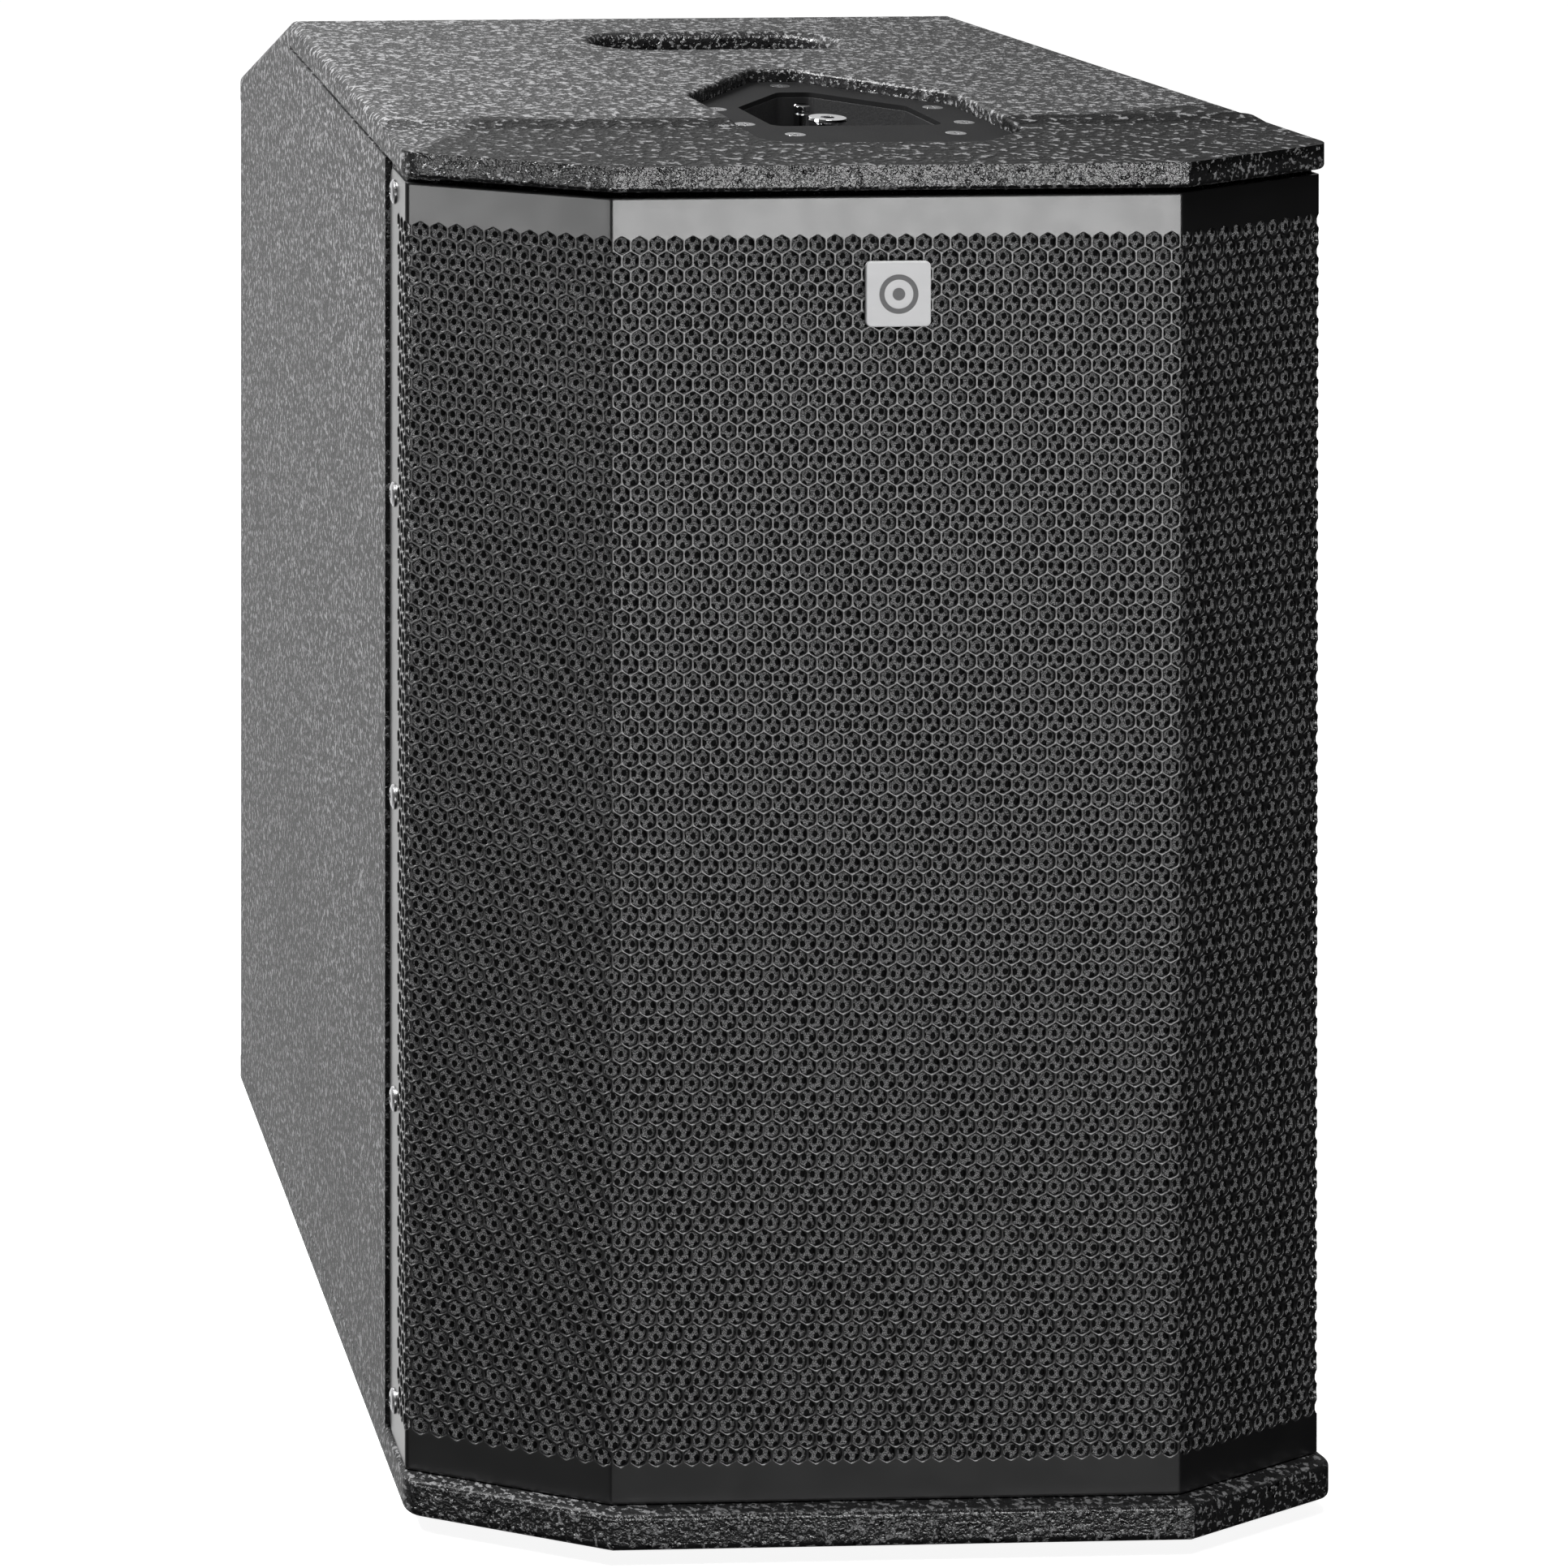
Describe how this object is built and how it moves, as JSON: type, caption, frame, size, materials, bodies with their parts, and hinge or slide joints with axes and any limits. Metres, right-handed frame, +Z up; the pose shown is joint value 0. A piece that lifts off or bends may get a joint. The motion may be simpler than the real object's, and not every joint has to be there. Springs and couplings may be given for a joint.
{
  "type": "powered subwoofer cabinet",
  "caption": "Tapered wooden powered subwoofer cabinet with a bent perforated steel grille, a recessed column dock and a hand slot in its top.",
  "frame": {"origin": "middle of the footprint box, on the floor under the rubber feet", "axes": "+X to the right seen from the front, +Y towards the back (the grille faces -Y), +Z up"},
  "size_m": [0.3546, 0.47, 0.522],
  "materials": {
    "textured_paint": "birch plywood under black structured speaker paint",
    "bare_plywood": "bare birch plywood inside the cabinet",
    "grille_steel": "satin black powder coat",
    "panel_steel": "matt black powder coat",
    "screw_steel": "bright plated steel",
    "black_screw": "blackened steel",
    "chrome": "polished",
    "zinc_steel": "zinc plated steel",
    "fabric": "black spacer mesh",
    "felt": "grey damping felt",
    "silver_badge": "satin silver",
    "moulded_plastic": "fine grained black moulding",
    "port_plastic": "smooth black moulding",
    "knob_plastic": "soft black knob",
    "button_plastic": "light grey button",
    "red_tab": "red release tab",
    "led_lens": "diffused green lens",
    "rubber": "black rubber",
    "paper_cone": "coated paper pulp",
    "ferrite": "ferrite",
    "copper_coil": "copper winding",
    "spider_cloth": "resin treated cloth",
    "circuit_board": "green circuit board",
    "heatsink": "black anodised",
    "cable_jacket": "black cable jacket",
    "gold_contact": "plated contacts in a black body"
  },
  "bodies": {
    "cabinet": {"amp_backbox": "zinc_steel", "amp_heatsink": "heatsink", "amp_panel": "panel_steel", "amp_panel_screws": "black_screw", "amplifier_board": "circuit_board", "aux_sockets": "gold_contact", "board_spacers": "zinc_steel", "bottom_panel": "textured_paint", "combo_sockets": "moulded_plastic", "cross_brace": "bare_plywood", "damping_lining": "felt", "dock_cable": "cable_jacket", "dock_nuts": "zinc_steel", "dock_plate": "panel_steel", "dock_plate_screws": "screw_steel", "dock_post": "chrome", "dock_stud": "chrome", "dock_tray": "moulded_plastic", "foot_screws": "zinc_steel", "front_baffle": "textured_paint", "front_grille": "grille_steel", "grille_badge": "silver_badge", "grille_fabric": "fabric", "grille_screws": "screw_steel", "handle_cup": "moulded_plastic", "input_board": "circuit_board", "left_side_panel": "textured_paint", "mains_inlet": "moulded_plastic", "port_tubes": "port_plastic", "pot_bodies": "zinc_steel", "power_supply_board": "circuit_board", "power_switch_frame": "moulded_plastic", "rear_panel": "textured_paint", "rear_slope_panel": "textured_paint", "right_side_panel": "textured_paint", "rubber_feet": "rubber", "status_leds": "led_lens", "top_panel": "textured_paint", "woofer_basket": "panel_steel", "woofer_cables": "cable_jacket", "woofer_gasket": "rubber", "woofer_magnet": "ferrite", "woofer_screws": "black_screw", "woofer_spider": "spider_cloth", "woofer_terminals": "moulded_plastic", "woofer_top_plate": "zinc_steel", "woofer_yoke": "zinc_steel", "xlr_outputs": "moulded_plastic"},
    "woofer_moving": {"woofer_cone": "paper_cone", "woofer_dust_cap": "paper_cone", "woofer_voice_coil": "copper_coil", "woofer_surround": "rubber"},
    "power_rocker": {"power_rocker": "knob_plastic"},
    "mode_button": {"mode_button": "button_plastic"},
    "latch_1": {"latch_1": "red_tab"},
    "latch_2": {"latch_2": "red_tab"},
    "knob_input_1": {"knob_input_1": "knob_plastic"},
    "knob_input_2": {"knob_input_2": "knob_plastic"},
    "knob_aux": {"knob_aux": "knob_plastic"},
    "knob_sub_level": {"knob_sub_level": "knob_plastic"}
  },
  "joints": [
    {"name": "woofer_travel", "type": "slide", "parent": "cabinet", "child": "woofer_moving", "axis": [0, -1, 0], "range_m": [-0.008, 0.008], "stiffness_N_per_m": 3000},
    {"name": "knob_input_1_turn", "type": "hinge", "parent": "cabinet", "child": "knob_input_1", "pos_m": [-0.062, 0.224, 0.318], "axis": [0, -1, 0], "range_deg": [-150, 150]},
    {"name": "knob_input_2_turn", "type": "hinge", "parent": "cabinet", "child": "knob_input_2", "pos_m": [-0.02, 0.224, 0.318], "axis": [0, -1, 0], "range_deg": [-150, 150]},
    {"name": "knob_aux_turn", "type": "hinge", "parent": "cabinet", "child": "knob_aux", "pos_m": [0.022, 0.224, 0.318], "axis": [0, -1, 0], "range_deg": [-150, 150]},
    {"name": "knob_sub_level_turn", "type": "hinge", "parent": "cabinet", "child": "knob_sub_level", "pos_m": [0.064, 0.224, 0.318], "axis": [0, -1, 0], "range_deg": [-150, 150]},
    {"name": "power_rocker_tip", "type": "hinge", "parent": "cabinet", "child": "power_rocker", "pos_m": [-0.008, 0.222, 0.084], "axis": [1, 0, 0], "range_deg": [-16, 0]},
    {"name": "mode_button_press", "type": "slide", "parent": "cabinet", "child": "mode_button", "axis": [0, -1, 0], "range_m": [0, 0.0015], "stiffness_N_per_m": 1200},
    {"name": "latch_1_press", "type": "slide", "parent": "cabinet", "child": "latch_1", "axis": [0, -1, 0], "range_m": [0, 0.002], "stiffness_N_per_m": 1500},
    {"name": "latch_2_press", "type": "slide", "parent": "cabinet", "child": "latch_2", "axis": [0, -1, 0], "range_m": [0, 0.002], "stiffness_N_per_m": 1500}
  ]
}
